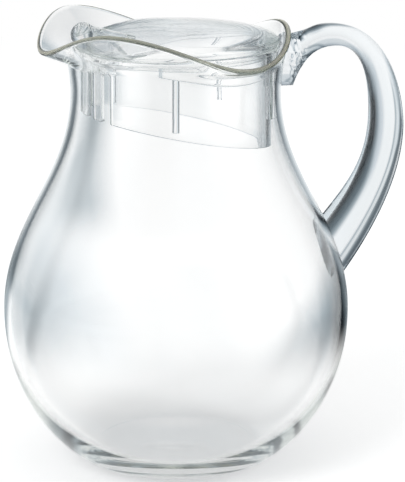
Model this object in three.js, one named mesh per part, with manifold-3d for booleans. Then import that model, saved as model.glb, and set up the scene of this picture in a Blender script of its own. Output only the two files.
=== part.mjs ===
// Clear acrylic jug: a pear-shaped body with a wavy pouring lip, a solid handle bonded to it at
// both ends, and a lid of two mouldings, a comb strainer that seats in the neck and a domed cap
// that turns on the strainer. Millimetres, +Z up, spout towards -X, handle towards +X, origin at
// the middle of the foot. Angles round the jug are in degrees from the spout.
import * as THREE from 'three';
import { mergeVertices } from 'three/addons/utils/BufferGeometryUtils.js';
import Module from 'manifold-3d';

const wasm = await Module();
wasm.setup();

// Clearances
const bondGap = 0.34; // handle to jug wall, taken sideways
const seatGap = 0.3; // strainer collar to the tapered neck
const ribGap = 0.4; // strainer ribs to the neck's waist
const turnGap = 0.35; // cap to strainer, which turn on each other

// Jug body
const wall = 3;
const floorThickness = 5;
const floorRise = 2; // low swelling in the middle of the floor
const floorFlat = 0.33; // its flat top, as a share of the foot
const footRadius = 41;
const footPull = 17; // how far the wall runs outwards before it turns up
const footLift = 4;
const bellyRadius = 85.7;
const bellyHeight = 77;
const lowerPull = 44; // upright pull of the wall below and above the belly
const upperPull = 44;
const neckRadius = 51.4; // narrowest outside radius
const neckHeight = 187;
const neckPull = 44;
const seatRise = 13; // plain round taper above the waist, where the lid seats
const seatTaper = 1.1;
const rimThickness = 2.6;

// The lip from the spout round to the handle: how far it spreads and rises from the round neck,
// the way it leans at its edge (90 is upright) and how long it stays upright first.
const lipStations = [
  { at: 0, spread: 14.4, rise: 7, lean: 24, lead: 2.5 },
  { at: 48.5, spread: 14.4, rise: 20.8, lean: 52, lead: 7 },
  { at: 114.5, spread: 5.4, rise: 2.8, lean: 40, lead: 1 },
  { at: 180, spread: 2.7, rise: 18, lean: 94, lead: 7 },
];
const lipRun = 0.4; // share of the lip's width that runs along the lean

// Handle, a solid bar in the plane of the spout: an outer and an inner edge with oval sections
// between them. Reaches, rises and drops are taken from the neck's waist.
const rootRise = 24.3; // top of the root
const rootSlope = 5.6;
const rootPull = 19.9;
const rootFootReach = 8.1; // flat foot of the root, with a fillet up from it
const rootFootDrop = 0.8;
const filletSlope = 71;
const filletPull = 10.1;
const bendReach = 26.1; // top of the bend, outside
const bendRise = 29.4;
const bendPullIn = 9.2;
const bendPullOut = 33.6;
const gripReach = 66.7; // furthest out
const gripDrop = 24;
const gripPullUp = 13.7;
const gripPullDown = 33.5;
const fingerBendReach = 29.7; // the same places inside, where the fingers go
const fingerBendRise = 18;
const fingerBendPullIn = 13.3;
const fingerBendPullOut = 8.4;
const fingerReach = 48.6;
const fingerDrop = 16;
const fingerPullUp = 28.6;
const fingerPullDown = 28.7;
const lowerJointHeight = 104; // where the bar lands on the belly, with its ends inside the wall
const landAngle = 50;
const heelInset = 3.9;
const heelDrop = 28;
const heelPull = 22.9;
const crotchInset = 15.9;
const crotchRise = 2;
const crotchPull = 34.7;
const bendWidth = 13.5; // sideways
const landWidth = 20;

// Strainer
const lidWall = 2.2;
const skirtInset = 1.9; // skirt's outside to the neck's waist
const collarFrom = 68; // collar below the flange, except towards the spout
const collarSink = 4.3; // its lowest edge below the top of the neck's taper
const collarWave = 0.4; // share of the lip's wave that this edge follows
const flangeFrom = 46; // the flange stops short of the spout too, where the skirt flares out to its edge
const flareEase = 16; // degrees over which the flare comes in, either side of the flange's end
const flangeRise = 7; // flange above the top of the neck's taper
const flangeThickness = 2;
const flangeOverhang = 0.6; // flange past the top of the neck's taper
const skirtFrontDrop = 29.3; // skirt below the flange's underside at the spout
const skirtBackDrop = 47.3;
const slotCount = 5;
const slotPitch = 15.2; // degrees
const slotWidth = 5;
const slotHead = 5.8; // solid band between the flange and the slots
const ribCount = 4;
const ribPitch = 75; // from the spout to the first rib, and on to the next
const ribWidth = 3.6;
const ribLength = 32.2;

// Cap
const capSpigot = 4.5; // depth of the ring that plugs into the strainer
const brimThickness = 1.8;
const crownRise = 9.6; // crown above the strainer's flange
const shoulderPull = 5.5;
const crownPull = 28;
const slopeAngle = 13; // front of the dome slopes down to the spout from the crown
const slopeBlend = 1.5;
const knobRadius = 6;
const knobReach = 46.2;
const knobRise = 6.8; // ball centre above the strainer's flange
const knobPostRadius = 4.2;
const ridgeReach = 20; // where the knob's ridge runs out on the dome
const ridgeRadius = 5.2; // at the ball
const ridgeTipRadius = 1.8;

// Facets
const turns = 64;
const wallSteps = 8;
const lipSteps = 5;
const rimSteps = 3;
const domeSteps = 8;
const handleSteps = 9; // along each of the three stretches of its edges
const handleSides = 18;
const ribSides = 8;
const slotSides = 8;
const knobSides = 24;
const weldDistance = 1e-4;

// Heights and radii that follow from the sizes above
const neckInside = neckRadius - wall;
const seatHeight = neckHeight + seatRise;
const seatRadius = neckRadius + seatTaper;
const seatInside = seatRadius - wall;
const flangeHeight = seatHeight + flangeRise;
const flangeTop = flangeHeight + flangeThickness;
const flangeRadius = seatInside + flangeOverhang;
const collarRadius = neckInside + seatTaper * (1 - collarSink / seatRise) - seatGap;
const skirtRadius = neckInside - skirtInset;
const skirtInside = skirtRadius - lidWall;
const skirtMiddle = skirtRadius - lidWall / 2;
const slotTop = flangeHeight - slotHead;
const spigotRadius = skirtInside - turnGap;
const brimHeight = flangeTop + turnGap;
const crownHeight = flangeTop + crownRise;

const point = (x, y) => new THREE.Vector2(x, y);
const radians = THREE.MathUtils.degToRad;

// Place on a ring round the axis, with the angle counted from the spout
function around(angle, radius, height) {
  const turn = radians(angle);
  return new THREE.Vector3(-radius * Math.cos(turn), -radius * Math.sin(turn), height);
}

// Closed solid through rings of points. The end rings are closed by a fan to their middles,
// or the last ring joins the first when the rings run round a hollow.
function loft(rings, joined = false) {
  const count = rings[0].length;
  const points = rings.flat();
  const faces = [];
  const last = joined ? rings.length : rings.length - 1;
  for (let k = 0; k < last; k += 1) {
    const next = (k + 1) % rings.length;
    for (let i = 0; i < count; i += 1) {
      const j = (i + 1) % count;
      const [a, b] = [k * count + i, k * count + j];
      const [c, d] = [next * count + j, next * count + i];
      faces.push(a, b, c, a, c, d);
    }
  }
  if (!joined) {
    [rings[0], rings.at(-1)].forEach((ring, end) => {
      const middle = ring.reduce((sum, p) => sum.add(p), new THREE.Vector3()).divideScalar(count);
      const first = end === 0 ? 0 : points.length - count - 1;
      points.push(middle);
      for (let i = 0; i < count; i += 1) {
        const [a, b] = [first + i, first + (i + 1) % count];
        faces.push(points.length - 1, ...(end === 0 ? [b, a] : [a, b]));
      }
    });
  }
  const geometry = new THREE.BufferGeometry().setFromPoints(points);
  geometry.setIndex(faces);
  return geometry;
}

// Solid of rotation whose outline may change with the angle from the spout
function revolve(outlineAt, joined = false) {
  const outlines = Array.from({ length: turns }, (_, i) => outlineAt(360 * i / turns));
  const rings = outlines[0].map((_, k) => outlines.map(
    (outline, i) => around(360 * i / turns, outline[k].x, outline[k].y),
  ));
  return loft(rings, joined);
}

function solidOf(geometry) {
  const bare = geometry.clone();
  bare.deleteAttribute('normal');
  bare.deleteAttribute('uv');
  const merged = mergeVertices(bare, weldDistance);
  return new wasm.Manifold(new wasm.Mesh({
    numProp: 3,
    vertProperties: new Float32Array(merged.attributes.position.array),
    triVerts: new Uint32Array(merged.index.array),
  }));
}

function geometryOf(solid) {
  const { vertProperties, triVerts } = solid.getMesh();
  const geometry = new THREE.BufferGeometry();
  geometry.setAttribute('position', new THREE.BufferAttribute(vertProperties, 3));
  geometry.setIndex(new THREE.BufferAttribute(triVerts, 1));
  return geometry;
}

// Wall from the foot to the neck's waist, moved in by an inset and up by a lift at the foot
function bodyWall(inset, lift) {
  const lower = new THREE.CubicBezierCurve(
    point(footRadius - inset, lift),
    point(footRadius - inset + footPull, lift + footLift),
    point(bellyRadius - inset, bellyHeight - lowerPull),
    point(bellyRadius - inset, bellyHeight),
  );
  const upper = new THREE.CubicBezierCurve(
    point(bellyRadius - inset, bellyHeight),
    point(bellyRadius - inset, bellyHeight + upperPull),
    point(neckRadius - inset, neckHeight - neckPull),
    point(neckRadius - inset, neckHeight),
  );
  return [...lower.getPoints(wallSteps), ...upper.getPoints(wallSteps).slice(1)];
}

// Value of the lip at an angle, eased between the stations on either side
function lipValue(angle, key) {
  const side = Math.min(angle, 360 - angle);
  const k = lipStations.findLastIndex((station, i) => station.at <= side && i < lipStations.length - 1);
  const [from, to] = [lipStations[k], lipStations[k + 1]];
  const share = (1 - Math.cos(Math.PI * (side - from.at) / (to.at - from.at))) / 2;
  return THREE.MathUtils.lerp(from[key], to[key], share);
}

// Outside of the lip from the seat to the rim
function lipCurve(angle) {
  const rim = point(seatRadius + lipValue(angle, 'spread'), seatHeight + lipValue(angle, 'rise'));
  const seat = point(seatRadius, seatHeight);
  const taper = point(seatTaper, seatRise).normalize();
  const lean = radians(lipValue(angle, 'lean'));
  const run = lipRun * rim.distanceTo(seat);
  return new THREE.CubicBezierCurve(
    seat,
    seat.clone().addScaledVector(taper, lipValue(angle, 'lead')),
    rim.clone().addScaledVector(point(Math.cos(lean), Math.sin(lean)), -run),
    rim,
  );
}

// Lip outline: up its outside, over the rounded rim and down its inside
function lipOutline(angle) {
  const curve = lipCurve(angle);
  const outside = [];
  const inside = [];
  for (let k = 0; k <= lipSteps; k += 1) {
    const share = k / lipSteps;
    const along = curve.getTangent(share);
    const thickness = THREE.MathUtils.lerp(wall, rimThickness, share);
    const edge = curve.getPoint(share);
    outside.push(edge);
    inside.unshift(edge.clone().add(point(-along.y, along.x).multiplyScalar(thickness)));
  }
  const along = curve.getTangent(1);
  const middle = outside.at(-1).clone().lerp(inside[0], 0.5);
  const rim = [];
  for (let k = 1; k <= rimSteps; k += 1) {
    const turn = Math.PI * k / (rimSteps + 1);
    const towards = point(along.y, -along.x).multiplyScalar(Math.cos(turn));
    towards.addScaledVector(along, Math.sin(turn));
    rim.push(middle.clone().addScaledVector(towards, rimThickness / 2));
  }
  return { outside, rim, inside };
}

function jugBody() {
  const outer = bodyWall(0, 0);
  const inner = bodyWall(wall, floorThickness).reverse();
  const floorMiddle = point(footRadius * floorFlat, floorThickness + floorRise);
  return revolve((angle) => {
    const lip = lipOutline(angle);
    return [...outer, ...lip.outside, ...lip.rim, ...lip.inside, ...inner, floorMiddle];
  });
}

// The jug filled to its rim and grown sideways by the bond's gap, to trim the handle with
function jugEnvelope() {
  return revolve((angle) => [...bodyWall(0, 0), ...lipOutline(angle).outside].map(
    (p) => point(p.x + bondGap, p.y),
  ));
}

// Outside radius of the body at a height, between the belly and the neck
function wallRadius(height) {
  const outline = bodyWall(0, 0);
  const k = outline.findIndex((p) => p.y > height);
  const [below, above] = [outline[k - 1], outline[k]];
  return THREE.MathUtils.mapLinear(height, below.y, above.y, below.x, above.x);
}

const waistPoint = (reach, rise) => point(neckRadius + reach, neckHeight + rise);
const heading = (angle, length) => point(length, 0).rotateAround(point(0, 0), radians(angle));

// One edge of the handle: out of the neck, up to the bend, out to the grip and down to its end
function handleEdge({ root, rootLead, bend, bendPulls, grip, gripPulls, end, endPull }) {
  const stretches = [
    [root, root.clone().add(rootLead), bend.clone().sub(point(bendPulls[0], 0)), bend],
    [bend, bend.clone().add(point(bendPulls[1], 0)), grip.clone().add(point(0, gripPulls[0])), grip],
    [grip, grip.clone().sub(point(0, gripPulls[1])), end.clone().add(heading(landAngle, endPull)), end],
  ];
  const edge = stretches.flatMap((stretch) => {
    const curve = new THREE.CubicBezierCurve(...stretch);
    return curve.getPoints(handleSteps).slice(1);
  });
  return [point(neckInside, root.y), root, ...edge];
}

function handleBar() {
  const lowerWall = wallRadius(lowerJointHeight);
  const outer = handleEdge({
    root: waistPoint(0, rootRise),
    rootLead: heading(rootSlope, rootPull),
    bend: waistPoint(bendReach, bendRise),
    bendPulls: [bendPullIn, bendPullOut],
    grip: waistPoint(gripReach, -gripDrop),
    gripPulls: [gripPullUp, gripPullDown],
    end: point(lowerWall - heelInset, lowerJointHeight - heelDrop),
    endPull: heelPull,
  });
  const inner = handleEdge({
    root: waistPoint(rootFootReach, -rootFootDrop),
    rootLead: heading(filletSlope, filletPull),
    bend: waistPoint(fingerBendReach, fingerBendRise),
    bendPulls: [fingerBendPullIn, fingerBendPullOut],
    grip: waistPoint(fingerReach, -fingerDrop),
    gripPulls: [fingerPullUp, fingerPullDown],
    end: point(lowerWall - crotchInset, lowerJointHeight + crotchRise),
    endPull: crotchPull,
  });
  const rings = outer.map((out, k) => {
    const middle = out.clone().lerp(inner[k], 0.5);
    const half = inner[k].clone().sub(middle);
    const share = THREE.MathUtils.smoothstep(k, handleSteps, outer.length - 1);
    const width = THREE.MathUtils.lerp(bendWidth, landWidth, share);
    return Array.from({ length: handleSides }, (_, i) => {
      const turn = 2 * Math.PI * i / handleSides;
      const spot = middle.clone().addScaledVector(half, Math.cos(turn));
      return new THREE.Vector3(spot.x, width / 2 * Math.sin(turn), spot.y);
    });
  });
  return geometryOf(solidOf(loft(rings)).subtract(solidOf(jugEnvelope())));
}

// Bottom edge of the strainer's skirt, slanted down from the spout to the handle
function skirtBottom(angle) {
  const share = (1 - Math.cos(radians(angle))) / 2;
  return flangeHeight - THREE.MathUtils.lerp(skirtFrontDrop, skirtBackDrop, share);
}

// Flare of the skirt above its slots, towards the spout
function skirtFlare(angle) {
  const side = Math.min(angle, 360 - angle);
  const share = THREE.MathUtils.smoothstep(side, flangeFrom - flareEase, flangeFrom + flareEase);
  return (flangeRadius - skirtRadius) * (1 - share);
}

// Collar's lower edge, which follows the lip's wave
function collarBottom(angle) {
  const lowestRise = Math.min(...lipStations.map((station) => station.rise));
  return seatHeight - collarSink + collarWave * (lipValue(angle, 'rise') - lowestRise);
}

// Part of a ring from one angle to another, with flat ends
function ringSector(inside, outside, lowAt, high, from, to) {
  const steps = Math.ceil((to - from) * turns / 360);
  return loft(Array.from({ length: steps + 1 }, (_, k) => {
    const angle = from + (to - from) * k / steps;
    const low = lowAt(angle);
    return [[inside, low], [inside, high], [outside, high], [outside, low]].map(
      ([radius, height]) => around(angle, radius, height),
    );
  }));
}

// Slot that stays open at the bottom, with a round head, cut outwards along -X
function slotCutter() {
  const shape = new THREE.Shape();
  shape.moveTo(-slotWidth / 2, flangeHeight - skirtBackDrop);
  shape.lineTo(slotWidth / 2, flangeHeight - skirtBackDrop);
  shape.lineTo(slotWidth / 2, slotTop - slotWidth / 2);
  shape.absarc(0, slotTop - slotWidth / 2, slotWidth / 2, 0, Math.PI);
  const depth = skirtRadius;
  const cutter = new THREE.ExtrudeGeometry(shape, { depth, bevelEnabled: false, curveSegments: slotSides });
  return cutter.rotateX(Math.PI / 2).rotateZ(-Math.PI / 2).translate(-skirtRadius / 2, 0, 0);
}

// Half-round rib, rooted in the middle of the skirt's wall
function ribBar(angle) {
  const stand = neckInside - ribGap - skirtMiddle;
  const shape = new THREE.Shape();
  shape.absellipse(-skirtMiddle, 0, stand, ribWidth / 2, Math.PI / 2, 3 * Math.PI / 2);
  const depth = flangeThickness / 2 + ribLength;
  const bar = new THREE.ExtrudeGeometry(shape, { depth, bevelEnabled: false, curveSegments: ribSides });
  return bar.translate(0, 0, flangeHeight - ribLength).rotateZ(radians(angle));
}

function lidStrainer() {
  const skirt = revolve((angle) => [
    point(skirtInside, skirtBottom(angle)),
    point(skirtRadius, skirtBottom(angle)),
    point(skirtRadius, slotTop),
    point(skirtRadius + skirtFlare(angle), flangeTop),
    point(skirtInside + skirtFlare(angle), flangeTop),
    point(skirtInside, slotTop),
  ], true);
  const flangeMiddle = flangeHeight + flangeThickness / 2;
  const additions = [
    ringSector(skirtMiddle, flangeRadius, () => flangeHeight, flangeTop, flangeFrom, 360 - flangeFrom),
    ringSector(skirtMiddle, collarRadius, collarBottom, flangeMiddle, collarFrom, 360 - collarFrom),
    ...Array.from({ length: ribCount }, (_, k) => ribBar(ribPitch * (k + 1))),
  ];
  let strainer = solidOf(skirt);
  additions.forEach((addition) => {
    strainer = strainer.add(solidOf(addition));
  });
  for (let k = 0; k < slotCount; k += 1) {
    const angle = slotPitch * (k - (slotCount - 1) / 2);
    strainer = strainer.subtract(solidOf(slotCutter().rotateZ(radians(angle))));
  }
  return geometryOf(strainer);
}

// Front slope of the dome, which runs down from the crown towards the spout
function slopeHeight(x, drop) {
  return crownHeight - drop + Math.tan(radians(slopeAngle)) * x;
}

// Lower of two heights, rounded where they meet
function smoothLower(a, b) {
  const share = THREE.MathUtils.clamp(0.5 + (b - a) / (2 * slopeBlend), 0, 1);
  return THREE.MathUtils.lerp(b, a, share) - slopeBlend * share * (1 - share);
}

// Dome from the crown to its edge, lowered by the lid's wall for the inside
function domeOutline(angle, edgeRadius, edgeHeight, drop) {
  const curve = new THREE.CubicBezierCurve(
    point(0, crownHeight - drop),
    point(crownPull, crownHeight - drop),
    point(edgeRadius, edgeHeight + shoulderPull),
    point(edgeRadius, edgeHeight),
  );
  return curve.getPoints(domeSteps).slice(1).map((p) => {
    const slope = slopeHeight(-p.x * Math.cos(radians(angle)), drop);
    return point(p.x, Math.max(edgeHeight, smoothLower(p.y, slope)));
  });
}

function capShell() {
  const spigotInside = spigotRadius - lidWall;
  const spigotBottom = flangeTop - capSpigot;
  return revolve((angle) => [
    ...domeOutline(angle, spigotInside, brimHeight, lidWall),
    point(spigotInside, spigotBottom),
    point(spigotRadius, spigotBottom),
    point(spigotRadius, brimHeight),
    point(flangeRadius, brimHeight),
    ...domeOutline(angle, flangeRadius, brimHeight + brimThickness, 0).reverse(),
  ]);
}

// Ball knob on a short post, with a ridge that runs back into the dome
function lidCap() {
  const ball = new THREE.SphereGeometry(knobRadius, knobSides, knobSides / 2);
  const postHeight = flangeTop + knobRise - brimHeight - brimThickness / 2;
  const post = new THREE.CylinderGeometry(knobPostRadius, knobPostRadius, postHeight, knobSides);
  post.rotateX(Math.PI / 2).translate(0, 0, -postHeight / 2);
  const ridgeEnd = slopeHeight(-ridgeReach, ridgeTipRadius) - flangeTop - knobRise;
  const run = point(knobReach - ridgeReach, ridgeEnd);
  const ridge = new THREE.CylinderGeometry(ridgeTipRadius, ridgeRadius, run.length(), knobSides);
  ridge.translate(0, run.length() / 2, 0).rotateZ(run.angle() - Math.PI / 2).rotateX(Math.PI / 2);
  const knob = solidOf(ball).add(solidOf(post)).add(solidOf(ridge));
  return geometryOf(solidOf(capShell()).add(knob.translate(-knobReach, 0, flangeTop + knobRise)));
}

const jug = new THREE.Group();

function addPiece(name, geometry, color, roughness) {
  const material = new THREE.MeshStandardMaterial({
    color, roughness, metalness: 0, transparent: true, opacity: 0.35,
  });
  const mesh = new THREE.Mesh(geometry, material);
  mesh.name = name;
  jug.add(mesh);
}

addPiece('jug_body', jugBody(), 0xdfe6e2, 0.05);
addPiece('handle', handleBar(), 0xd6dee2, 0.06);
addPiece('lid_strainer', lidStrainer(), 0xe4e9e7, 0.08);
addPiece('lid_cap', lidCap(), 0xe2e8e8, 0.08);

export default jug;
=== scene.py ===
import math

import bmesh
import bpy
import numpy as np
from mathutils import Matrix, Vector


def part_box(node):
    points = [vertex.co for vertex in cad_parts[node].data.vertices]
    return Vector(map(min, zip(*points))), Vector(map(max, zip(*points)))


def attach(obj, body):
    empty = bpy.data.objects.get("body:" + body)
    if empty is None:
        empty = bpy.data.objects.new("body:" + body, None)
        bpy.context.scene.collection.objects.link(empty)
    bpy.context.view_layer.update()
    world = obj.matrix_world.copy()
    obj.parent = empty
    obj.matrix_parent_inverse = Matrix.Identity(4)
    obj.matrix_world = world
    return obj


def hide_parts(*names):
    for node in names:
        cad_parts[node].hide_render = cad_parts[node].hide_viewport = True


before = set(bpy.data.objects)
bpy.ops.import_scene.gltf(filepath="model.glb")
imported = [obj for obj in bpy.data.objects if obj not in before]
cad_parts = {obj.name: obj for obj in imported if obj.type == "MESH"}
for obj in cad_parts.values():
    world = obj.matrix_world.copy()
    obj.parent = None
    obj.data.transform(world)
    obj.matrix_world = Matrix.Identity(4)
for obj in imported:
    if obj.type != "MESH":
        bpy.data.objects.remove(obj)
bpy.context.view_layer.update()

mm = 0.001  # the pieces' sizes are in millimetres and degrees, the camera's and the studio's in metres
imageWidth, imageHeight = 405, 482


# Helpers shared by all pieces

def hexColour(code, alpha=1.0):
    channels = [int(code[i:i + 2], 16) / 255 for i in (1, 3, 5)]
    linear = [c / 12.92 if c <= 0.04045 else ((c + 0.055) / 1.055) ** 2.4 for c in channels]
    return (*linear, alpha)


def addNode(tree, kind, inputs=None, stops=(), **settings):
    node = tree.nodes.new(kind)
    for k, (place, shade) in enumerate(stops):
        elements = node.color_ramp.elements
        element = elements[k] if k < 2 else elements.new(place)
        element.position, element.color = place, hexColour(shade)
    for name, value in settings.items():
        setattr(node, name, value)
    for socket, value in (inputs or {}).items():
        if isinstance(value, bpy.types.NodeSocket):
            tree.links.new(value, node.inputs[socket])
        else:
            node.inputs[socket].default_value = value
    return node


def addObject(name, mesh):
    piece = bpy.data.objects.new(name, mesh)
    bpy.context.scene.collection.objects.link(piece)
    return piece


def bezier(p0, p1, p2, p3, steps):
    t = np.linspace(0, 1, steps + 1)[:, None]
    p0, p1, p2, p3 = (np.array(p, float) for p in (p0, p1, p2, p3))
    return (1 - t) ** 3 * p0 + 3 * t * (1 - t) ** 2 * p1 + 3 * t ** 2 * (1 - t) * p2 + t ** 3 * p3


def around(angle, radius, height):
    turn = math.radians(angle)  # counted from the spout, which points along -X
    return (-radius * math.cos(turn) * mm, -radius * math.sin(turn) * mm, height * mm)


# Closed skin over rings of points: joined end to end, capped, or closed by ends that lie in one point
def skinMesh(name, rings, joined=False, capped=False):
    skin = bmesh.new()
    loops = [[skin.verts.new(place) for place in ring] for ring in rings]
    for lower, upper in zip(loops, loops[1:] + loops[:1] if joined else loops[1:]):
        for i in range(len(lower)):
            skin.faces.new((lower[i - 1], lower[i], upper[i], upper[i - 1]))
    if capped:
        skin.faces.new(loops[0])
        skin.faces.new(loops[-1])
    bmesh.ops.remove_doubles(skin, verts=skin.verts, dist=1e-7)
    bmesh.ops.recalc_face_normals(skin, faces=skin.faces)
    mesh = bpy.data.meshes.new(name)
    skin.to_mesh(mesh)
    skin.free()
    return mesh


# Form turned about the axis, with an outline of its own at each angle
def revolve(name, outlineAt, angles, joined=False):
    outlines = [outlineAt(angle) for angle in angles]
    rings = [[around(angle, *place) for angle, place in zip(angles, places)] for places in zip(*outlines)]
    return skinMesh(name, rings, joined)


def evenAngles(turns):
    return np.arange(turns) * 360 / turns


# Outline through corners (radius, height, rounding), as moulded edges are: no rounding leaves a plain point
def rounded(corners, steps=4, mostOfEdge=1 / 2.2):
    places = [np.array(corner[:2], float) for corner in corners]
    soft = []
    for k, corner in enumerate(places):
        if corners[k][2] == 0:
            soft.append(corner)
            continue
        ends = []
        for neighbour in (places[k - 1], places[(k + 1) % len(places)]):
            away = neighbour - corner
            length = max(np.linalg.norm(away), 1e-9)
            ends.append(corner + away / length * min(corners[k][2], length * mostOfEdge))
        for t in np.linspace(0, 1, steps + 1):
            soft.append((1 - t) ** 2 * ends[0] + 2 * t * (1 - t) * corner + t ** 2 * ends[1])
    return soft


def smoothStep(value, low, high):
    share = np.clip((value - low) / (high - low), 0, 1)
    return share * share * (3 - 2 * share)


# Keeps what an object's modifiers make as its plain mesh
def keepResult(piece):
    evaluated = piece.evaluated_get(bpy.context.evaluated_depsgraph_get())
    mesh = bpy.data.meshes.new_from_object(evaluated)
    piece.modifiers.clear()
    piece.data = mesh


def applyTree(piece, tree, values):
    modifier = piece.modifiers.new(tree.name, "NODES")
    modifier.node_group = tree
    for socket in tree.interface.items_tree:
        if socket.name in values:
            modifier[socket.identifier] = values[socket.name]
    keepResult(piece)


def finishMesh(piece, material, sharpAngle, body, node):
    mesh = piece.data
    mesh.materials.clear()
    mesh.materials.append(material)
    mesh.polygons.foreach_set("use_smooth", [True] * len(mesh.polygons))
    mesh.set_sharp_from_angle(angle=math.radians(sharpAngle))
    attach(piece, body)
    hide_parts(node)
    print(f"{piece.name}: {len(mesh.vertices)} vertices")


# Clear acrylic: Object coordinates in metres, so a pattern's scale is one over its size

acrylic = dict(
    ior=1.49,
    wipeGrain=1.6,  # between wiping marks, which are drawn coarser than real ones so that they show
    wipeFrom=0.35, wipeTo=0.75,  # the noise that counts as polished and as wiped
)


def clearAcrylic(name, tint, density, waveHeight, waveLength, haze, rim=None):
    material = bpy.data.materials.new(name)
    material.use_nodes = True
    tree = material.node_tree
    tree.nodes.clear()
    place = addNode(tree, "ShaderNodeTexCoord").outputs["Object"]
    wiping = addNode(tree, "ShaderNodeTexNoise", {
        "Vector": place, "Scale": 1 / (acrylic["wipeGrain"] * mm), "Detail": 3.0, "Roughness": 0.6})
    polish = addNode(tree, "ShaderNodeMapRange", {
        "Value": wiping.outputs["Fac"], "From Min": acrylic["wipeFrom"], "From Max": acrylic["wipeTo"],
        "To Min": 0.0, "To Max": haze})
    flow = addNode(tree, "ShaderNodeTexNoise", {
        "Vector": place, "Scale": 1 / (waveLength * mm), "Detail": 1.0, "Roughness": 0.4})
    bump = addNode(tree, "ShaderNodeBump", {
        "Height": flow.outputs["Fac"], "Distance": waveHeight * mm, "Strength": 1.0})
    skin = addNode(tree, "ShaderNodeBsdfPrincipled", {
        "Base Color": (1, 1, 1, 1), "Roughness": polish.outputs["Result"], "IOR": acrylic["ior"],
        "Transmission Weight": 1.0, "Normal": bump.outputs["Normal"]})
    if rim:
        share = addNode(tree, "ShaderNodeAttribute", attribute_name="rimShare").outputs["Fac"]
        # Painted shade: an olive darkening mixed into the rim's colour, standing in for light carried down
        # the wall; a pale sheen lies over it
        paintedRimShade = addNode(tree, "ShaderNodeMix", {
            "Factor": share, "A": (1, 1, 1, 1), "B": hexColour(rim["tint"])}, data_type="RGBA")
        matt = addNode(tree, "ShaderNodeMix", {
            "Factor": share, "A": polish.outputs["Result"], "B": rim["roughness"]}, data_type="FLOAT")
        rimSheen = addNode(tree, "ShaderNodeMath", {0: share, 1: rim["sheen"]}, operation="MULTIPLY")
        tree.links.new(rimSheen.outputs["Value"], skin.inputs["Sheen Weight"])
        skin.inputs["Sheen Roughness"].default_value = rim["sheenRoughness"]
        skin.inputs["Sheen Tint"].default_value = hexColour(rim["sheenTint"])
        tree.links.new(paintedRimShade.outputs["Result"], skin.inputs["Base Color"])
        tree.links.new(matt.outputs["Result"], skin.inputs["Roughness"])
    inside = addNode(tree, "ShaderNodeVolumeAbsorption", {"Color": hexColour(tint), "Density": density})
    addNode(tree, "ShaderNodeOutputMaterial", {
        "Surface": skin.outputs["BSDF"], "Volume": inside.outputs["Volume"]})
    return material


# Blow-moulded wall: clear, with slow waves, and a pale olive line along the cut rim, whose olive is painted
# shade in the rim's colour standing in for light carried down the wall, under a pale sheen
rimShadeAndSheen = dict(tint="#dcd8c4", roughness=0.35, sheen=1.0, sheenRoughness=0.9, sheenTint="#f8f6e8")
bodyAcrylic = clearAcrylic(
    "mouldedAcrylicBody", tint="#f0f1e4", density=4.0, waveHeight=0.02, waveLength=24, haze=0.03, rim=rimShadeAndSheen)
# Solid polished bar: a faint cool grey in its depth, and long dark and white bands of bent surroundings
handleAcrylic = clearAcrylic(
    "castAcrylicHandle", tint="#d8dfe3", density=36.0, waveHeight=0.01, waveLength=18, haze=0.03)
# Thin injection moulding: cool and clear, with short flow waves that break up its streaks
lidAcrylic = clearAcrylic(
    "mouldedAcrylicLid", tint="#e9eee8", density=8.0, waveHeight=0.005, waveLength=16, haze=0.08)


# Jug body: two Bezier curves from foot to waist, a short taper, then the wavy lip

lowest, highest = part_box("jug_body")
jug = dict(
    wall=3, floorThickness=5, floorRise=2,
    footRadius=41, footPull=17, footLift=4,
    bellyRadius=(highest[1] - lowest[1]) / 2 / mm, bellyHeight=77, lowerPull=44, upperPull=44,
    neckRadius=51.4, neckHeight=187, neckPull=44,
    seatRise=13, seatTaper=1.1,
    rimThickness=2.6, rimCrown=0.9, rimFade=0.6, lipRun=0.4,
    turns=288, wallSteps=36, seatSteps=6, lipSteps=22, lipFineness=50, rimSteps=8, floorSteps=12,
    footShares=(0, 0.3, 0.6, 0.85, 0.96), sharpAngle=60,
    lip=[  # from the spout round to the handle
        dict(at=0, spread=14.4, rise=7, lean=24, lead=2.5),
        dict(at=48.5, spread=14.4, rise=20.8, lean=52, lead=7),
        dict(at=114.5, spread=5.4, rise=2.8, lean=40, lead=1),
        dict(at=180, spread=2.7, rise=18, lean=94, lead=7),
    ],
)
seatHeight = jug["neckHeight"] + jug["seatRise"]
seatRadius = jug["neckRadius"] + jug["seatTaper"]


def bodyWall(inset, lift):
    foot = jug["footRadius"] - inset
    belly = jug["bellyRadius"] - inset
    neck = jug["neckRadius"] - inset
    middle = jug["bellyHeight"]
    lower = bezier((foot, lift), (foot + jug["footPull"], lift + jug["footLift"]),
                   (belly, middle - jug["lowerPull"]), (belly, middle), jug["wallSteps"])
    upper = bezier((belly, middle), (belly, middle + jug["upperPull"]),
                   (neck, jug["neckHeight"] - jug["neckPull"]), (neck, jug["neckHeight"]), jug["wallSteps"])
    return np.vstack((lower, upper[1:]))


# Taper above the waist, upright where it leaves the wall
def seatTaper(inset):
    t = np.arange(1, jug["seatSteps"]) / jug["seatSteps"]
    radius = jug["neckRadius"] - inset + jug["seatTaper"] * (2 * t ** 2 - t ** 3)
    return np.column_stack((radius, jug["neckHeight"] + jug["seatRise"] * t))


def lipValues(angle):
    side = min(angle, 360 - angle)
    k = max(i for i, station in enumerate(jug["lip"][:-1]) if station["at"] <= side)
    start, end = jug["lip"][k], jug["lip"][k + 1]
    share = (1 - math.cos(math.pi * (side - start["at"]) / (end["at"] - start["at"]))) / 2
    return {key: start[key] + (end[key] - start[key]) * share for key in start}


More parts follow.
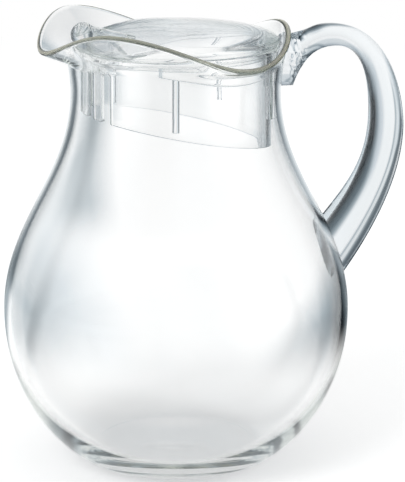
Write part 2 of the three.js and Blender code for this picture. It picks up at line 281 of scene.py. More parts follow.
# Outside, rounded edge and inside of the lip at an angle
def lipOutline(angle):
    lip = lipValues(angle)
    seat = np.array((seatRadius, seatHeight))
    rim = seat + (lip["spread"], lip["rise"])
    taper = np.array((jug["seatTaper"], jug["seatRise"])) / math.hypot(jug["seatTaper"], jug["seatRise"])
    lean = math.radians(lip["lean"])
    run = jug["lipRun"] * np.linalg.norm(rim - seat)
    handles = (seat, seat + taper * lip["lead"], rim - run * np.array((math.cos(lean), math.sin(lean))), rim)
    outside = bezier(*handles, jug["lipSteps"])
    fine = bezier(*handles, jug["lipSteps"] * jug["lipFineness"])
    along = np.gradient(fine, axis=0)[::jug["lipFineness"]]
    along /= np.linalg.norm(along, axis=1)[:, None]
    inward = np.column_stack((-along[:, 1], along[:, 0]))
    thickness = np.linspace(jug["wall"], jug["rimThickness"], len(outside))[:, None]
    inside = outside + inward * thickness
    middle = (outside[-1] + inside[-1]) / 2
    turn = np.pi * np.arange(1, jug["rimSteps"]) / jug["rimSteps"]
    edge = (middle - jug["rimThickness"] / 2 * np.cos(turn)[:, None] * inward[-1]
            + jug["rimCrown"] * np.sin(turn)[:, None] * along[-1])
    return outside, edge, inside[::-1]


def jugOutline(angle):
    outside, edge, inside = lipOutline(angle)
    footRadii = np.array(jug["footShares"]) * jug["footRadius"]
    foot = np.column_stack((footRadii, np.zeros(len(footRadii))))
    floorRadius = jug["footRadius"] - jug["wall"]
    share = np.arange(jug["floorSteps"], -1, -1)[1:] / jug["floorSteps"]
    floor = np.column_stack((
        floorRadius * share,
        jug["floorThickness"] + jug["floorRise"] * (1 + np.cos(np.pi * share)) / 2))
    return np.vstack((
        foot, bodyWall(0, 0), seatTaper(0), outside, edge, inside,
        seatTaper(jug["wall"])[::-1], bodyWall(jug["wall"], jug["floorThickness"])[::-1], floor))


# Share of the rim's painted olive shade, roughness and sheen at each point of the body, full on the rounded
# edge
def markRim(mesh):
    outlines = [lipOutline(angle) for angle in evenAngles(jug["turns"])]
    middles = np.array([(outside[-1] + inside[0]) / 2 for outside, edge, inside in outlines])
    places = np.empty(len(mesh.vertices) * 3)
    mesh.vertices.foreach_get("co", places)
    x, y, z = places.reshape(-1, 3).T / mm
    turn = np.rint(np.arctan2(-y, -x) / (2 * np.pi) * jug["turns"]).astype(int) % jug["turns"]
    away = np.hypot(np.hypot(x, y) - middles[turn, 0], z - middles[turn, 1])
    half = jug["rimThickness"] / 2
    share = 1 - smoothStep(away, jug["rimFade"] * half, half)
    mesh.attributes.new("rimShare", "FLOAT", "POINT").data.foreach_set("value", share)


jugBody = addObject("jugBody", revolve("jugBody", jugOutline, evenAngles(jug["turns"])))
markRim(jugBody.data)
finishMesh(jugBody, bodyAcrylic, jug["sharpAngle"], "jug", "jug_body")


# Handle: oval sections between an outer and an inner edge, trimmed to the body it is bonded to

handle = dict(
    bondGap=0.34, lowerJointHeight=104, landAngle=50, bendWidth=13.5, landWidth=20,
    outer=dict(  # out and up from the neck's waist, and the end from the wall at the lower joint
        root=(0, 24.3), slope=5.6, pull=19.9, bend=(26.1, 29.4), bendPulls=(9.2, 33.6),
        grip=(66.7, -24), gripPulls=(13.7, 33.5), end=(-3.9, -28), endPull=22.9),
    inner=dict(
        root=(8.1, -0.8), slope=71, pull=10.1, bend=(29.7, 18), bendPulls=(13.3, 8.4),
        grip=(48.6, -16), gripPulls=(28.6, 28.7), end=(-15.9, 2), endPull=34.7),
    bondRipple=0.3, rippleLength=3.2,  # uneven face that the solvent leaves
    rippleSwing=2, rippleDrift=0.6, rippleTurn=0.7,  # how its waves wander and turn over sideways
    padRipple=0.7, padLength=3.2, padFrom=12, padTo=15,  # uneven pad at the root, out from the waist
    padNoise=(0.25, 0.75),  # the noise that counts as its deepest and its highest
    steps=60, sides=72, trimSteps=420, sharpAngle=40,
)


def heading(angle, length):
    return length * np.array((math.cos(math.radians(angle)), math.sin(math.radians(angle))))


def handleEdge(edge, lowerWall):
    waist = np.array((jug["neckRadius"], jug["neckHeight"]))
    root, bend, grip = waist + edge["root"], waist + edge["bend"], waist + edge["grip"]
    end = np.array((lowerWall, handle["lowerJointHeight"])) + edge["end"]
    pullIn, pullOut = edge["bendPulls"]
    pullUp, pullDown = edge["gripPulls"]
    landing = end + heading(handle["landAngle"], edge["endPull"])
    steps = handle["steps"]
    return np.vstack((
        (jug["neckRadius"] - jug["wall"], root[1]),
        bezier(root, root + heading(edge["slope"], edge["pull"]), bend - (pullIn, 0), bend, steps),
        bezier(bend, bend + (pullOut, 0), grip + (0, pullUp), grip, steps)[1:],
        bezier(grip, grip - (0, pullDown), landing, end, steps)[1:]))


# The jug filled to its rim, a bond's gap larger, with the ripple of the bonded face
def bondEnvelope(angle):
    outline = np.vstack((bodyWall(0, 0), seatTaper(0), lipOutline(angle)[0]))
    heights = np.linspace(0, outline[-1][1], handle["trimSteps"])
    wave = 2 * math.pi / handle["rippleLength"]
    sideways = wave * jug["neckRadius"] * math.radians(angle - 180)
    swing = handle["rippleSwing"] * math.sin(handle["rippleDrift"] * sideways)
    ripple = np.sin(wave * heights + swing) * math.cos(handle["rippleTurn"] * sideways)
    radii = np.interp(heights, outline[:, 1], outline[:, 0])
    radii += handle["bondGap"] + handle["bondRipple"] * ripple
    return np.vstack(((0, 0), np.column_stack((radii, heights)), (0, heights[-1])))


# Tube whose rings take their place and their oval from the points of a path
def handleTree(material):
    tree = bpy.data.node_groups.new("sweptHandle", "GeometryNodeTree")
    for name, kind in (("Path", "Geometry"), ("Steps", "Int"), ("Sides", "Int"), ("Jug", "Object"),
                       ("Pad From", "Float"), ("Pad To", "Float"), ("Pad Ripple", "Float"),
                       ("Pad Scale", "Float")):
        tree.interface.new_socket(name, in_out="INPUT", socket_type="NodeSocket" + kind)
    tree.interface.new_socket("Handle", in_out="OUTPUT", socket_type="NodeSocketGeometry")
    given = addNode(tree, "NodeGroupInput").outputs
    tube = addNode(tree, "GeometryNodeMeshCylinder", {
        "Vertices": given["Sides"], "Side Segments": given["Steps"], "Radius": 1.0, "Depth": 1.0})
    position = addNode(tree, "GeometryNodeInputPosition").outputs["Position"]
    spot = addNode(tree, "ShaderNodeSeparateXYZ", {"Vector": position}).outputs
    share = addNode(tree, "ShaderNodeMath", {0: spot["Z"], 1: 0.5}, operation="ADD")
    step = addNode(tree, "ShaderNodeMath", {
        0: share.outputs["Value"], 1: given["Steps"]}, operation="MULTIPLY")
    ring = addNode(tree, "FunctionNodeFloatToInt", {"Float": step.outputs["Value"]}, rounding_mode="ROUND")
    oval = addNode(tree, "GeometryNodeInputNamedAttribute", {"Name": "oval"}, data_type="FLOAT_VECTOR")
    middle, reach = (addNode(tree, "GeometryNodeSampleIndex", {
        "Geometry": given["Path"], "Value": value, "Index": ring.outputs["Integer"]},
        data_type="FLOAT_VECTOR").outputs["Value"] for value in (position, oval.outputs["Attribute"]))
    turn = addNode(tree, "ShaderNodeCombineXYZ", {"X": spot["X"], "Y": spot["Y"], "Z": spot["X"]})
    skin = addNode(tree, "ShaderNodeVectorMath", {
        0: turn.outputs["Vector"], 1: reach, 2: middle}, operation="MULTIPLY_ADD")
    swept = addNode(tree, "GeometryNodeSetPosition", {
        "Geometry": tube.outputs["Mesh"], "Position": skin.outputs["Vector"]})
    near = addNode(tree, "ShaderNodeMapRange", {
        "Value": spot["X"], "From Min": given["Pad To"], "From Max": given["Pad From"],
        "To Max": given["Pad Ripple"]}, interpolation_type="SMOOTHSTEP")
    lumps = addNode(tree, "ShaderNodeTexNoise", {
        "Vector": position, "Scale": given["Pad Scale"], "Detail": 1.0})
    deepest, highest = handle["padNoise"]
    signed = addNode(tree, "ShaderNodeMapRange", {
        "Value": lumps.outputs["Fac"], "From Min": deepest, "From Max": highest, "To Min": -1.0})
    swell = addNode(tree, "ShaderNodeMath", {
        0: near.outputs["Result"], 1: signed.outputs["Result"]}, operation="MULTIPLY")
    aside = addNode(tree, "ShaderNodeCombineXYZ", {"Y": swell.outputs["Value"]})  # the outline stays smooth
    outwards = addNode(tree, "ShaderNodeVectorMath", {
        0: addNode(tree, "GeometryNodeInputNormal").outputs["Normal"],
        1: aside.outputs["Vector"]}, operation="MULTIPLY")
    uneven = addNode(tree, "GeometryNodeSetPosition", {
        "Geometry": swept.outputs["Geometry"], "Offset": outwards.outputs["Vector"]})
    jugShape = addNode(tree, "GeometryNodeObjectInfo", {"Object": given["Jug"]})
    trimmed = addNode(tree, "GeometryNodeMeshBoolean", {
        "Mesh 1": uneven.outputs["Geometry"], "Mesh 2": jugShape.outputs["Geometry"]},
        operation="DIFFERENCE", solver="MANIFOLD")
    whole = addNode(tree, "GeometryNodeRealizeInstances", {"Geometry": trimmed.outputs["Mesh"]})
    coated = addNode(tree, "GeometryNodeSetMaterial", {
        "Geometry": whole.outputs["Geometry"], "Material": material})
    addNode(tree, "NodeGroupOutput", {"Handle": coated.outputs["Geometry"]})
    return tree


def makeHandle():
    wall = bodyWall(0, 0)[jug["wallSteps"]:]
    lowerWall = np.interp(handle["lowerJointHeight"], wall[:, 1], wall[:, 0])
    outer, inner = handleEdge(handle["outer"], lowerWall), handleEdge(handle["inner"], lowerWall)
    middle, half = (outer + inner) / 2, (inner - outer) / 2
    last = len(outer) - 1
    share = smoothStep(np.arange(last + 1), handle["steps"] + 1, last)
    width = handle["bendWidth"] + (handle["landWidth"] - handle["bendWidth"]) * share
    path = bpy.data.meshes.new("handlePath")
    path.from_pydata([(x * mm, 0, z * mm) for x, z in middle], [(k, k + 1) for k in range(last)], [])
    ovals = np.column_stack((half[:, 0], width / 2, half[:, 1])) * mm
    path.attributes.new("oval", "FLOAT_VECTOR", "POINT").data.foreach_set("vector", ovals.ravel())
    piece = addObject("handleBar", path)
    trim = addObject("handleTrim", revolve("handleTrim", bondEnvelope, evenAngles(jug["turns"])))
    applyTree(piece, handleTree(handleAcrylic), {
        "Steps": last, "Sides": handle["sides"], "Jug": trim,
        "Pad From": (jug["neckRadius"] + handle["padFrom"]) * mm,
        "Pad To": (jug["neckRadius"] + handle["padTo"]) * mm,
        "Pad Ripple": handle["padRipple"] * mm,
        "Pad Scale": 1 / (handle["padLength"] * mm),
    })
    bpy.data.objects.remove(trim)
    return piece


handleBar = makeHandle()
finishMesh(handleBar, handleAcrylic, handle["sharpAngle"], "jug", "handle")


# Strainer: a slanted skirt with a collar and a flange, slots towards the spout and upright ribs

strainer = dict(
    ribGap=0.4, seatGap=0.3, lidWall=2.2, skirtInset=1.9,
    collarFrom=68, collarEase=3, collarSink=4.3, collarWave=0.4, collarEdge=1.6,
    flangeFrom=46, flangeEase=4, flareEase=16, flangeRise=7, flangeThickness=2, flangeOverhang=0.6,
    skirtFrontDrop=29.3, skirtBackDrop=47.3,
    slotCount=5, slotPitch=15.2, slotWidth=5, slotHead=5.8, slotEdge=1, toothCorner=1.2,
    ribCount=4, ribPitch=75, ribWidth=3.6, ribLength=32.2,
    slotSides=48, slotRings=33, slotPast=1.2,  # the form that cuts a slot reaches past both faces of the wall
    ribSides=25, ribRows=13,
    edge=0.5, frontHalf=42, frontStep=0.3, backStep=1.2, wallRows=7,  # degrees between columns of points
    sharpAngle=40,
)
neckInside = jug["neckRadius"] - jug["wall"]
seatInside = seatRadius - jug["wall"]
flangeHeight = seatHeight + strainer["flangeRise"]
flangeTop = flangeHeight + strainer["flangeThickness"]
flangeRadius = seatInside + strainer["flangeOverhang"]
collarShare = 1 - strainer["collarSink"] / jug["seatRise"]
collarRadius = neckInside + jug["seatTaper"] * collarShare - strainer["seatGap"]
skirtRadius = neckInside - strainer["skirtInset"]
skirtInside = skirtRadius - strainer["lidWall"]
skirtMiddle = skirtRadius - strainer["lidWall"] / 2
slotTop = flangeHeight - strainer["slotHead"]
slotBottom = flangeHeight - strainer["skirtBackDrop"]


# Lift of the skirt's lower edge beside a slot, which rounds the teeth's corners
def toothLift(angle):
    turn = (angle + 180) % 360 - 180
    last = (strainer["slotCount"] - 1) / 2
    slot = min(max(round(turn / strainer["slotPitch"]), -last), last)
    aside = math.radians(abs(turn - slot * strainer["slotPitch"])) * skirtMiddle - strainer["slotWidth"] / 2
    corner = strainer["toothCorner"]
    inset = min(max(corner - aside, 0), corner)
    return corner - math.sqrt(corner ** 2 - inset ** 2)


def strainerOutline(angle):
    side = min(angle, 360 - angle)
    drop = (1 - math.cos(math.radians(angle))) / 2
    bottom = flangeHeight - strainer["skirtFrontDrop"] * (1 - drop) - strainer["skirtBackDrop"] * drop
    bottom += toothLift(angle)
    overhang = flangeRadius - skirtRadius
    flare = overhang * (1 - smoothStep(
        side, strainer["flangeFrom"] - strainer["flareEase"], strainer["flangeFrom"] + strainer["flareEase"]))
    flange = skirtRadius + max(flare, overhang * smoothStep(
        side, strainer["flangeFrom"] - strainer["flangeEase"], strainer["flangeFrom"]))
    collar = skirtRadius + (collarRadius - skirtRadius) * smoothStep(
        side, strainer["collarFrom"] - strainer["collarEase"], strainer["collarFrom"])
    lowestRise = min(station["rise"] for station in jug["lip"])
    collarLow = seatHeight - strainer["collarSink"]
    collarLow += strainer["collarWave"] * (lipValues(angle)["rise"] - lowestRise)
    bandLow = max(slotTop, collarLow + 2 * strainer["edge"])
    bandRadius = skirtRadius + flare * (flangeHeight - slotTop) / (flangeTop - slotTop)
    edge = strainer["edge"]
    shares = np.arange(1, strainer["wallRows"]) / strainer["wallRows"]
    outside = [(skirtRadius, bottom + (collarLow - bottom) * share, 0) for share in shares]
    inside = [(skirtInside, slotTop + (bottom - slotTop) * share, 0) for share in shares]
    return rounded((
        (skirtInside, bottom, edge), (skirtRadius, bottom, edge), *outside,
        (skirtRadius, collarLow, edge), (collar, collarLow, strainer["collarEdge"]), (collar, bandLow, edge),
        (max(collar, bandRadius), flangeHeight, edge), (flange, flangeHeight, edge),
        (flange, flangeTop, edge), (skirtInside + flare, flangeTop, edge),
        (skirtInside, slotTop, edge), *inside))


# What a slot takes away: wider at both faces of the wall, so that its edges come out rounded
def slotForm():
    wall, edge = strainer["lidWall"], strainer["slotEdge"]
    sides, past = strainer["slotSides"], strainer["slotPast"]
    turn = np.radians(evenAngles(sides))
    middles = np.where(np.sin(turn) > 1e-6, slotTop - strainer["slotWidth"] / 2, slotBottom)
    rings = []
    for out in np.linspace(-past, past, strainer["slotRings"]) * wall:
        share = min(max((abs(out) - wall / 2 + edge) / edge, 0), 1)
        half = strainer["slotWidth"] / 2 + edge * (1 - math.sqrt(1 - share ** 2))
        rings.append(np.column_stack((
            np.full(sides, -skirtMiddle - out), half * np.cos(turn), middles + half * np.sin(turn))) * mm)
    return addObject("slotForm", skinMesh("slotForm", rings, capped=True))


# Half-round rib, rooted in the middle of the wall
def ribForm():
    stand = neckInside - strainer["ribGap"] - skirtMiddle
    turn = np.radians(np.linspace(-90, 90, strainer["ribSides"]))
    out, aside = skirtMiddle + stand * np.cos(turn), strainer["ribWidth"] / 2 * np.sin(turn)
    low, high = flangeHeight - strainer["ribLength"], flangeHeight + strainer["flangeThickness"] / 2
    rings = [np.column_stack((-out, aside, np.full(len(out), height))) * mm
             for height in np.linspace(low, high, strainer["ribRows"])]
    return addObject("ribForm", skinMesh("ribForm", rings, capped=True))


def combTree(material):
    tree = bpy.data.node_groups.new("combAndRibs", "GeometryNodeTree")
    tree.interface.new_socket("Skirt", in_out="INPUT", socket_type="NodeSocketGeometry")
    for form in ("Slot", "Rib"):
        for name, kind in (("", "Object"), (" Count", "Int"), (" From", "Float"), (" Pitch", "Float")):
            tree.interface.new_socket(form + name, in_out="INPUT", socket_type="NodeSocket" + kind)
    tree.interface.new_socket("Strainer", in_out="OUTPUT", socket_type="NodeSocketGeometry")
    given = addNode(tree, "NodeGroupInput").outputs
    index = addNode(tree, "GeometryNodeInputIndex").outputs["Index"]
    copies = {}
    for form in ("Slot", "Rib"):
        spots = addNode(tree, "GeometryNodePoints", {"Count": given[form + " Count"]})
        turn = addNode(tree, "ShaderNodeMath", {
            0: index, 1: given[form + " Pitch"], 2: given[form + " From"]}, operation="MULTIPLY_ADD")
        about = addNode(tree, "ShaderNodeCombineXYZ", {"Z": turn.outputs["Value"]})
        shape = addNode(tree, "GeometryNodeObjectInfo", {"Object": given[form]})
        placed = addNode(tree, "GeometryNodeInstanceOnPoints", {
            "Points": spots.outputs["Points"], "Instance": shape.outputs["Geometry"],
            "Rotation": about.outputs["Vector"]})
        real = addNode(tree, "GeometryNodeRealizeInstances", {"Geometry": placed.outputs["Instances"]})
        copies[form] = real.outputs["Geometry"]
    ribbed = addNode(tree, "GeometryNodeMeshBoolean", {
        "Mesh 2": given["Skirt"]}, operation="UNION", solver="MANIFOLD")
    tree.links.new(copies["Rib"], ribbed.inputs["Mesh 2"])  # one socket takes all that is joined
    comb = addNode(tree, "GeometryNodeMeshBoolean", {
        "Mesh 1": ribbed.outputs["Mesh"], "Mesh 2": copies["Slot"]},
        operation="DIFFERENCE", solver="MANIFOLD")
    whole = addNode(tree, "GeometryNodeRealizeInstances", {"Geometry": comb.outputs["Mesh"]})
    coated = addNode(tree, "GeometryNodeSetMaterial", {
        "Geometry": whole.outputs["Geometry"], "Material": material})
    addNode(tree, "NodeGroupOutput", {"Strainer": coated.outputs["Geometry"]})
    return tree


def makeStrainer():
    front = strainer["frontHalf"]
    angles = np.concatenate((
        np.arange(0, front, strainer["frontStep"]),
        np.arange(front, 360 - front, strainer["backStep"]),
        np.arange(360 - front, 360, strainer["frontStep"])))
    piece = addObject("lidStrainer", revolve("lidStrainer", strainerOutline, angles, joined=True))
    slot, rib = slotForm(), ribForm()
    slotPitch, ribPitch = math.radians(strainer["slotPitch"]), math.radians(strainer["ribPitch"])
    applyTree(piece, combTree(lidAcrylic), {
        "Slot": slot, "Slot Count": strainer["slotCount"],
        "Slot From": (1 - strainer["slotCount"]) / 2 * slotPitch, "Slot Pitch": slotPitch,
        "Rib": rib, "Rib Count": strainer["ribCount"], "Rib From": ribPitch, "Rib Pitch": ribPitch,
    })
    bpy.data.objects.remove(slot)
    bpy.data.objects.remove(rib)
    return piece


lidStrainer = makeStrainer()
finishMesh(lidStrainer, lidAcrylic, strainer["sharpAngle"], "strainer", "lid_strainer")


# Cap: a low dome that slopes down to the spout, a ring that plugs into the strainer and a ball knob

cap = dict(
    turnGap=0.35, spigot=4.5, brimThickness=1.8,
    crownRise=9.6, shoulderPull=5.5, crownPull=28, slopeAngle=13, slopeBlend=1.5,
    knobRadius=6, knobReach=46.2, knobRise=6.8, knobPostRadius=4.2,
    ridgeReach=20, ridgeRadius=5.2, ridgeTipRadius=1.8,
    knobSides=64, knobGrain=0.2, knobSoftening=30,  # the grain of its points, and how far joins are smoothed
    edge=0.5, turns=288, domeSteps=40, sharpAngle=40,
)
spigotRadius = skirtInside - cap["turnGap"]
brimHeight = flangeTop + cap["turnGap"]
crownHeight = flangeTop + cap["crownRise"]


def slopeHeight(x, drop):
    return crownHeight - drop + math.tan(math.radians(cap["slopeAngle"])) * x


# Lower of two heights, blended where they cross
def smoothLower(a, b):
    share = min(max(0.5 + (b - a) / (2 * cap["slopeBlend"]), 0), 1)
    return b + (a - b) * share - cap["slopeBlend"] * share * (1 - share)


def domeOutline(angle, edgeRadius, edgeHeight, drop):
    curve = bezier((0, crownHeight - drop), (cap["crownPull"], crownHeight - drop),
                   (edgeRadius, edgeHeight + cap["shoulderPull"]), (edgeRadius, edgeHeight), cap["domeSteps"])
    return [(r, max(edgeHeight, smoothLower(z, slopeHeight(-r * math.cos(math.radians(angle)), drop))))
            for r, z in curve]


def capOutline(angle):
    spigotInside = spigotRadius - strainer["lidWall"]
    spigotBottom = flangeTop - cap["spigot"]
    under = domeOutline(angle, spigotInside, brimHeight, strainer["lidWall"])
    over = domeOutline(angle, flangeRadius, brimHeight + cap["brimThickness"], 0)[::-1]
    edge = cap["edge"]
    foot = rounded(((*under[-1], 0), (spigotInside, spigotBottom, edge), (spigotRadius, spigotBottom, edge),
                    (spigotRadius, brimHeight, edge), (flangeRadius, brimHeight, edge), (*over[0], 0)))
    return np.array([*under, *foot[1:-1], *over])


# Ball, post and ridge melted into one smooth form
def makeKnob():
    ball = Vector((-cap["knobReach"], 0, flangeTop + cap["knobRise"])) * mm
    foot = Vector((-cap["knobReach"], 0, brimHeight + cap["brimThickness"] / 2)) * mm
    end = Vector((-cap["ridgeReach"], 0, slopeHeight(-cap["ridgeReach"], cap["ridgeTipRadius"]))) * mm
    form = bmesh.new()
    sides = cap["knobSides"]
    bmesh.ops.create_uvsphere(form, u_segments=sides, v_segments=sides // 2, radius=cap["knobRadius"] * mm,
                              matrix=Matrix.Translation(ball))
    for tip, ballRadius, tipRadius in ((foot, cap["knobPostRadius"], cap["knobPostRadius"]),
                                       (end, cap["ridgeRadius"], cap["ridgeTipRadius"])):
        run = tip - ball
        place = Matrix.Translation((ball + tip) / 2) @ run.to_track_quat("Z", "Y").to_matrix().to_4x4()
        bmesh.ops.create_cone(form, cap_ends=True, segments=sides, radius1=ballRadius * mm,
                              radius2=tipRadius * mm, depth=run.length, matrix=place)
    mesh = bpy.data.meshes.new("knob")
    form.to_mesh(mesh)
    form.free()
    knob = addObject("knob", mesh)
    melt = knob.modifiers.new("melt", "REMESH")
    melt.mode = "VOXEL"
    melt.voxel_size = cap["knobGrain"] * mm
    soften = knob.modifiers.new("soften", "SMOOTH")
    soften.factor = 0.5
    soften.iterations = cap["knobSoftening"]
    return knob


def makeCap():
    piece = addObject("lidCap", revolve("lidCap", capOutline, evenAngles(cap["turns"])))
    knob = makeKnob()
    union = piece.modifiers.new("union", "BOOLEAN")
    union.operation = "UNION"
    union.solver = "MANIFOLD"
    union.object = knob
    keepResult(piece)
    bpy.data.objects.remove(knob)
    return piece


lidCap = makeCap()
finishMesh(lidCap, lidAcrylic, cap["sharpAngle"], "cap", "lid_cap")


# Camera at the photograph's viewing angle

camera = dict(
    azimuth=-15, distance=1.1, height=0.392, target=0.110,
    focal=2288, axisAt=(176, 242),  # pixels of the picture
)


def makeCamera():
    turn = math.radians(camera["azimuth"])
    distance = camera["distance"]
    place = Vector((distance * math.sin(turn), -distance * math.cos(turn), camera["height"]))
    lens = bpy.data.cameras.new("photoCamera")
    lens.sensor_fit = "VERTICAL"
    lens.sensor_height = 36
    lens.lens = camera["focal"] * lens.sensor_height / imageHeight
    lens.shift_x = (imageWidth / 2 - camera["axisAt"][0]) / imageHeight
    lens.shift_y = (camera["axisAt"][1] - imageHeight / 2) / imageHeight
    eye = bpy.data.objects.new("photoCamera", lens)
    eye.location = place
    eye.rotation_euler = (Vector((0, 0, camera["target"])) - place).to_track_quat("-Z", "Y").to_euler()
    bpy.context.scene.collection.objects.link(eye)
    bpy.context.scene.camera = eye


makeCamera()
print(f"camera: {camera['distance']} m from the jug's axis")


# Studio: pale floor and white surroundings, with darker stretches between the lit ones

studio = dict(
    floorSize=12, floorDrop=0.0002, floorColour="#f4f5f5", floorGlow=0.49, worldLight=0.5, bounces=96,
    near=(0.10, 0.28), ring=(0.42, 0.6), far=(0.95, 1.3),  # from the axis, where the floor's shades change
    nearShades=[  # compass degrees from +X, counted towards +Y, and the grey that clear acrylic finds there
        (-62, "#f6f8f9"), (-30, "#f6f8f9"), (-4, "#8a949b"), (4, "#7d888f"), (12, "#0c1116"),
        (30, "#0c1116"), (37, "#4f595f"), (45, "#69747b"), (51, "#a2acb2"), (57, "#ffffff"),
        (82, "#ffffff"), (90, "#d8dee2"), (98, "#b4bdc2"), (106, "#98a2a8"), (112, "#98a2a8"),
        (120, "#f6f8f9"), (149, "#f6f8f9"), (153, "#3e474c"), (158, "#3e474c"), (166, "#f6f8f9"),
        (200, "#f6f8f9"), (215, "#b9c1c6"), (230, "#6b757b"), (246, "#6b757b"), (262, "#d3dade"),
        (285, "#d3dade"),
    ],
    ringShades=[
        (-62, "#f6f8f9"), (-30, "#f6f8f9"), (-2, "#aab4bb"), (8, "#8a949b"), (16, "#0c1116"),
        (36, "#0c1116"), (44, "#8a949b"), (50, "#ccd3d8"), (55, "#dde2e6"), (61, "#ffffff"),
        (80, "#ffffff"), (83, "#b4bdc2"), (85, "#b4bdc2"), (88, "#e3e8eb"), (95, "#e3e8eb"),
        (101, "#98a2a8"), (107, "#5d666c"), (114, "#5d666c"), (122, "#d3dade"), (147, "#d3dade"),
        (152, "#3e474c"), (157, "#3e474c"), (164, "#f6f8f9"), (190, "#f6f8f9"), (210, "#b0b8be"),
        (228, "#4a5358"), (246, "#4a5358"), (263, "#d0d7db"), (285, "#d0d7db"),
    ],
    farShades=[
        (-62, "#f6f8f9"), (-32, "#f6f8f9"), (-6, "#8a949b"), (6, "#8a949b"), (16, "#3a4349"),
        (33, "#3a4349"), (42, "#8a949b"), (48, "#b0b9bf"), (53, "#cdd5da"), (58, "#dde3e7"),
        (65, "#ffffff"), (79, "#ffffff"), (83, "#bcc4c9"), (85, "#bcc4c9"), (87.5, "#f0f3f4"),
        (93, "#f0f3f4"), (97, "#98a2a8"), (102, "#6b747a"), (113, "#6b747a"), (124, "#f6f8f9"),
        (146, "#f6f8f9"), (152, "#3e474c"), (157, "#3e474c"), (165, "#f6f8f9"), (191, "#f6f8f9"),
        (215, "#b0b8be"), (228, "#4a5358"), (246, "#4a5358"), (263, "#d0d7db"), (285, "#d0d7db"),
    ],
    ceiling=[  # height of the direction, and how far it dims the far shades: the ramp's two ends come first
        (0.0, "#ffffff"), (1.0, "#a9b3bb"), (0.05, "#ffffff"), (0.14, "#e0e5e8"), (0.36, "#d6dce0"),
        (0.5, "#b9c2ca"), (0.7, "#87929b"),
    ],
    lampAim=(0, 0, 0.12),
    lamps=[  # power in watts
        dict(name="keyBox", place=(-1.2, -0.9, 1.3), size=(0.9, 0.9), power=12),
        dict(name="fillBox", place=(1.4, -0.8, 1.0), size=(0.7, 0.9), power=5),
    ],
)


# Rays that look at the background itself, by eye, by gloss or through the acrylic
def lookingRays(tree):
    path = addNode(tree, "ShaderNodeLightPath").outputs
    first = addNode(tree, "ShaderNodeMath", {
        0: path["Is Camera Ray"], 1: path["Is Glossy Ray"]}, operation="MAXIMUM")
    return addNode(tree, "ShaderNodeMath", {
        0: first.outputs["Value"], 1: path["Is Transmission Ray"]}, operation="MAXIMUM").outputs["Value"]


# Grey that clear and glossy faces find in a direction from the axis
def compassShade(tree, place, shades):
    parts = addNode(tree, "ShaderNodeSeparateXYZ", {"Vector": place})
    compass = addNode(tree, "ShaderNodeMath", {
        0: parts.outputs["Y"], 1: parts.outputs["X"]}, operation="ARCTAN2")
    first = shades[0][0]
    turned = addNode(tree, "ShaderNodeMath", {
        0: compass.outputs["Value"], 1: math.radians(first + 360), 2: math.radians(first)}, operation="WRAP")
    share = addNode(tree, "ShaderNodeMapRange", {
        "Value": turned.outputs["Value"],
        "From Min": math.radians(first), "From Max": math.radians(first + 360)})
    fullTurn = (shades[0], (first + 360, shades[0][1]), *shades[1:])  # a ramp's two ends come first
    stops = [((angle - first) / 360, shade) for angle, shade in fullTurn]
    return addNode(tree, "ShaderNodeValToRGB", {"Fac": share.outputs["Result"]}, stops).outputs["Color"]


# Surroundings: the camera itself sees plain white
def makeWorld():
    world = bpy.data.worlds.new("studio")
    world.use_nodes = True
    bpy.context.scene.world = world
    tree = world.node_tree
    tree.nodes.clear()
    direction = addNode(tree, "ShaderNodeTexCoord").outputs["Generated"]
    height = addNode(tree, "ShaderNodeSeparateXYZ", {"Vector": direction}).outputs["Z"]
    dimmed = addNode(tree, "ShaderNodeValToRGB", {"Fac": height}, studio["ceiling"])
    shade = addNode(tree, "ShaderNodeMix", {
        "Factor": 1.0, "A": compassShade(tree, direction, studio["farShades"]),
        "B": dimmed.outputs["Color"]}, data_type="RGBA", blend_type="MULTIPLY")
    cameraRay = addNode(tree, "ShaderNodeLightPath").outputs["Is Camera Ray"]
    plain = addNode(tree, "ShaderNodeMix", {
        "Factor": cameraRay, "A": shade.outputs["Result"], "B": (1, 1, 1, 1)}, data_type="RGBA")
    light = addNode(tree, "ShaderNodeBackground", {"Color": (1, 1, 1, 1), "Strength": studio["worldLight"]})
    seen = addNode(tree, "ShaderNodeBackground", {"Color": plain.outputs["Result"], "Strength": 1.0})
    mix = addNode(tree, "ShaderNodeMixShader", {
        0: lookingRays(tree), 1: light.outputs["Background"], 2: seen.outputs["Background"]})
    addNode(tree, "ShaderNodeOutputWorld", {"Surface": mix.outputs["Shader"]})


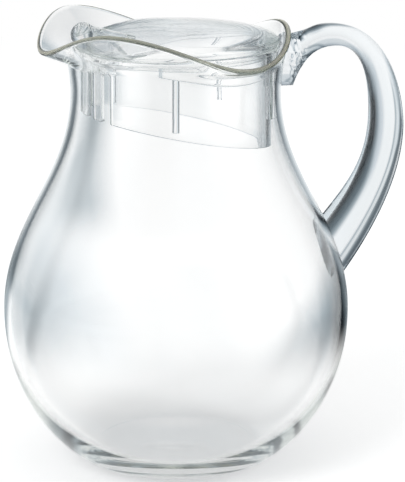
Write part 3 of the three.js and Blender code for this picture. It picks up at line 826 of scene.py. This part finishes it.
# Floor: pale, with the object's shadow, and plain white to the camera farther out
def makeFloor():
    half = studio["floorSize"] / 2
    mesh = bpy.data.meshes.new("floor")
    corners = [(-half, -half, 0), (half, -half, 0), (half, half, 0), (-half, half, 0)]
    mesh.from_pydata(corners, [], [(0, 1, 2, 3)])
    floor = addObject("floor", mesh)
    floor.location.z = -studio["floorDrop"]
    paint = bpy.data.materials.new("paleFloor")
    paint.use_nodes = True
    tree = paint.node_tree
    tree.nodes.clear()
    place = addNode(tree, "ShaderNodeTexCoord").outputs["Object"]
    reach = addNode(tree, "ShaderNodeVectorMath", {0: place}, operation="LENGTH").outputs["Value"]
    cameraRay = addNode(tree, "ShaderNodeLightPath").outputs["Is Camera Ray"]
    shade = (1, 1, 1, 1)
    for zone in ("near", "ring", "far"):
        start, end = studio[zone]
        share = addNode(tree, "ShaderNodeMapRange", {
            "Value": reach, "From Min": start, "From Max": end}, interpolation_type="SMOOTHSTEP")
        shade = addNode(tree, "ShaderNodeMix", {
            "Factor": share.outputs["Result"], "A": shade,
            "B": compassShade(tree, place, studio[zone + "Shades"])}, data_type="RGBA").outputs["Result"]
    shade = addNode(tree, "ShaderNodeMix", {
        "Factor": cameraRay, "A": shade, "B": (1, 1, 1, 1)}, data_type="RGBA").outputs["Result"]
    albedo = addNode(tree, "ShaderNodeMix", {
        "Factor": 1.0, "A": hexColour(studio["floorColour"]), "B": shade},
        data_type="RGBA", blend_type="MULTIPLY")
    matt = addNode(tree, "ShaderNodeBsdfDiffuse", {"Color": hexColour(studio["floorColour"])})
    seenMatt = addNode(tree, "ShaderNodeBsdfDiffuse", {"Color": albedo.outputs["Result"]})
    glow = addNode(tree, "ShaderNodeEmission", {"Color": shade, "Strength": studio["floorGlow"]})
    both = addNode(tree, "ShaderNodeAddShader", {0: seenMatt.outputs["BSDF"], 1: glow.outputs["Emission"]})
    mix = addNode(tree, "ShaderNodeMixShader", {
        0: lookingRays(tree), 1: matt.outputs["BSDF"], 2: both.outputs["Shader"]})
    white = addNode(tree, "ShaderNodeEmission", {"Color": (1, 1, 1, 1), "Strength": 1.0})
    away = addNode(tree, "ShaderNodeMath", {  # share is the far zone's by now
        0: share.outputs["Result"], 1: cameraRay}, operation="MULTIPLY")
    plain = addNode(tree, "ShaderNodeMixShader", {
        0: away.outputs["Value"], 1: mix.outputs["Shader"], 2: white.outputs["Emission"]})
    addNode(tree, "ShaderNodeOutputMaterial", {"Surface": plain.outputs["Shader"]})
    mesh.materials.append(paint)


def softBox(name, place, size, power):
    lamp = bpy.data.lights.new(name, "AREA")
    lamp.shape = "RECTANGLE"
    lamp.size, lamp.size_y = size
    lamp.energy = power
    box = bpy.data.objects.new(name, lamp)
    box.location = place
    box.rotation_euler = (Vector(studio["lampAim"]) - Vector(place)).to_track_quat("-Z", "Y").to_euler()
    box.visible_glossy = box.visible_transmission = False  # the surroundings alone make the reflections
    bpy.context.scene.collection.objects.link(box)


makeWorld()
makeFloor()
for lamp in studio["lamps"]:
    softBox(**lamp)
print(f"studio: floor, surroundings and {len(studio['lamps'])} soft boxes")

bpy.context.scene.view_settings.view_transform = "Standard"
bpy.context.scene.cycles.max_bounces = studio["bounces"]
bpy.context.scene.cycles.transmission_bounces = studio["bounces"]
bpy.context.scene.cycles.glossy_bounces = studio["bounces"]
